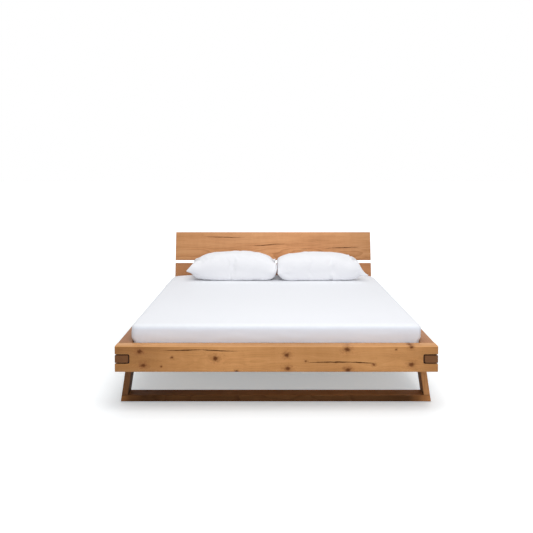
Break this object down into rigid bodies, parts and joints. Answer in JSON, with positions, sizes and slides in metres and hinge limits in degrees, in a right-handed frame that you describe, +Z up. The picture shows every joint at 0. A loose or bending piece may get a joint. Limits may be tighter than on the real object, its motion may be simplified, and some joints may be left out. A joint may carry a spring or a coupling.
{
  "type": "beam bed",
  "caption": "Low platform bed of heavy notched oak beams on splayed leg frames, with a raked plank headboard, slatted base, mattress and pillows.",
  "frame": {"origin": "on the floor, in the middle of the whole bed's length and width", "axes": "+Z up, +Y from the foot end to the headboard, +X to the right seen from the foot end"},
  "size_m": [2.009, 2.265, 0.9145],
  "materials": {
    "oak": "oiled knotty oak, satin",
    "smoked_oak": "dark smoked oak, oiled",
    "dark_oak": "dark stained oak, satin",
    "pine": "planed pine, bare",
    "steel": "black powder coat",
    "screw_steel": "zinc plated",
    "felt": "pressed felt",
    "mattress_cloth": "white cotton sheet",
    "pillow_cloth": "white cotton case"
  },
  "bodies": {
    "frame": {"front_beam": "oak", "head_beam": "oak", "side_beam_left": "oak", "side_beam_right": "oak", "headboard_upper_plank": "oak", "headboard_lower_plank": "oak", "headboard_strut_left": "oak", "headboard_strut_right": "oak", "corner_tenon_front_left": "smoked_oak", "corner_tenon_front_right": "smoked_oak", "corner_tenon_head_left": "smoked_oak", "corner_tenon_head_right": "smoked_oak", "front_leg_bar": "dark_oak", "rear_leg_bar": "dark_oak", "front_post_left": "dark_oak", "front_post_right": "dark_oak", "rear_post_left": "dark_oak", "rear_post_right": "dark_oak", "slat_01": "pine", "slat_02": "pine", "slat_03": "pine", "slat_04": "pine", "slat_05": "pine", "slat_06": "pine", "slat_07": "pine", "slat_08": "pine", "slat_09": "pine", "slat_10": "pine", "slat_11": "pine", "slat_12": "pine", "slat_13": "pine", "slat_14": "pine", "slat_cleat_left": "pine", "slat_cleat_right": "pine", "centre_beam": "pine", "centre_post": "pine", "corner_bracket_front_left": "steel", "corner_bracket_front_right": "steel", "corner_bracket_head_left": "steel", "corner_bracket_head_right": "steel", "front_leg_plate_left": "steel", "front_leg_plate_right": "steel", "rear_leg_plate_left": "steel", "rear_leg_plate_right": "steel", "centre_hanger_front": "steel", "centre_hanger_head": "steel", "bracket_screws": "screw_steel", "slat_screws": "screw_steel", "cleat_screws": "screw_steel", "leg_plate_screws": "screw_steel", "leg_bar_screws": "screw_steel", "hanger_screws": "screw_steel", "centre_post_screws": "screw_steel", "strut_screws": "screw_steel", "plank_screws": "screw_steel", "felt_glides": "felt"},
    "mattress": {"mattress": "mattress_cloth"},
    "pillow_left": {"pillow_left": "pillow_cloth"},
    "pillow_right": {"pillow_right": "pillow_cloth"}
  },
  "joints": [
    {"name": "mattress_lift", "type": "slide", "parent": "frame", "child": "mattress", "axis": [0, 0, 1], "range_m": [0, 0.25]},
    {"name": "pillow_left_lift", "type": "slide", "parent": "mattress", "child": "pillow_left", "axis": [0, 0, 1], "range_m": [0, 0.3]},
    {"name": "pillow_right_lift", "type": "slide", "parent": "mattress", "child": "pillow_right", "axis": [0, 0, 1], "range_m": [0, 0.3]}
  ]
}
